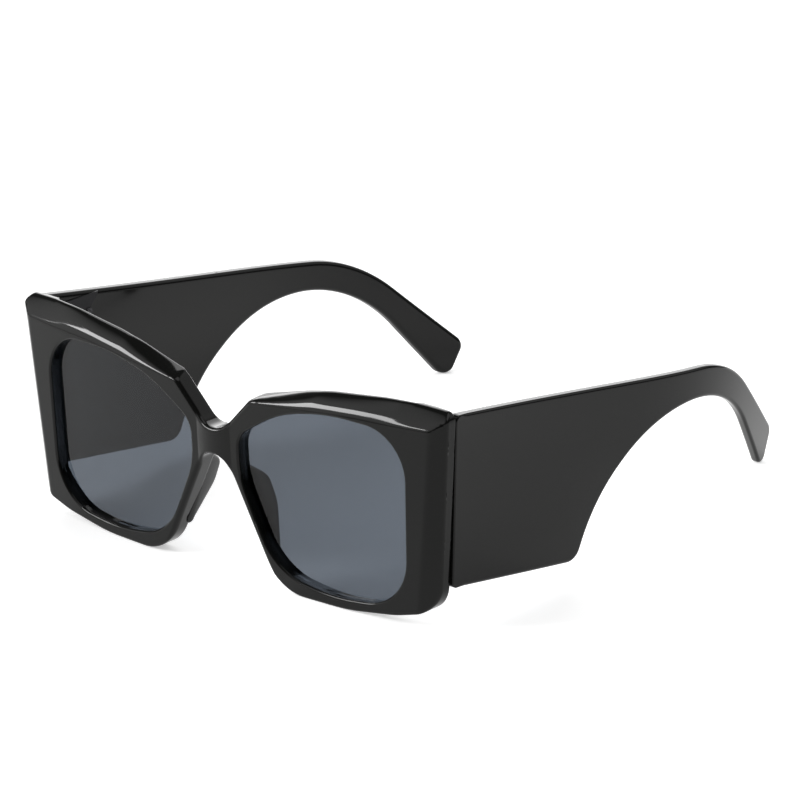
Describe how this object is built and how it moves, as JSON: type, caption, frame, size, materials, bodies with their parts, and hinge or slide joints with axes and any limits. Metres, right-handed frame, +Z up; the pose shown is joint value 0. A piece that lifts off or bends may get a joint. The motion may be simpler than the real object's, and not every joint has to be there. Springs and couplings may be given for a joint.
{
  "type": "oversized sunglasses",
  "caption": "Oversized square sunglasses in glossy black plastic with smoke lenses, a faceted brow, wide cut-out temples and screw hinges that fold flat.",
  "frame": {"origin": "on the table under the middle of the part's length and width, temples open", "axes": "+X towards the wearer's left, +Y back along the temples, +Z up"},
  "size_m": [0.1466, 0.1464, 0.0562],
  "materials": {
    "frame_black": "polished black moulding",
    "lens_smoke": "smoke tint, polished",
    "pad_black": "polished black moulding",
    "hinge_metal": "tumbled nickel silver",
    "screw_steel": "turned steel"
  },
  "bodies": {
    "front": {"front_frame": "frame_black", "lens_left": "lens_smoke", "lens_right": "lens_smoke", "nose_pad_left": "pad_black", "nose_pad_right": "pad_black", "front_hinge_leaf_left": "hinge_metal", "front_hinge_leaf_right": "hinge_metal", "hinge_screw_left": "screw_steel", "hinge_screw_right": "screw_steel", "front_leaf_screws_left": "screw_steel", "front_leaf_screws_right": "screw_steel"},
    "left_temple": {"temple_left": "frame_black", "temple_hinge_leaf_left": "hinge_metal", "temple_leaf_screws_left": "screw_steel"},
    "right_temple": {"temple_right": "frame_black", "temple_hinge_leaf_right": "hinge_metal", "temple_leaf_screws_right": "screw_steel"}
  },
  "joints": [
    {"name": "left_fold", "type": "hinge", "parent": "front", "child": "left_temple", "pos_m": [0.0667, -0.05893, 0.047], "axis": [0, 0, 1], "range_deg": [0, 85]},
    {"name": "right_fold", "type": "hinge", "parent": "front", "child": "right_temple", "pos_m": [-0.0667, -0.05893, 0.047], "axis": [0, 0, -1], "range_deg": [0, 74]}
  ]
}
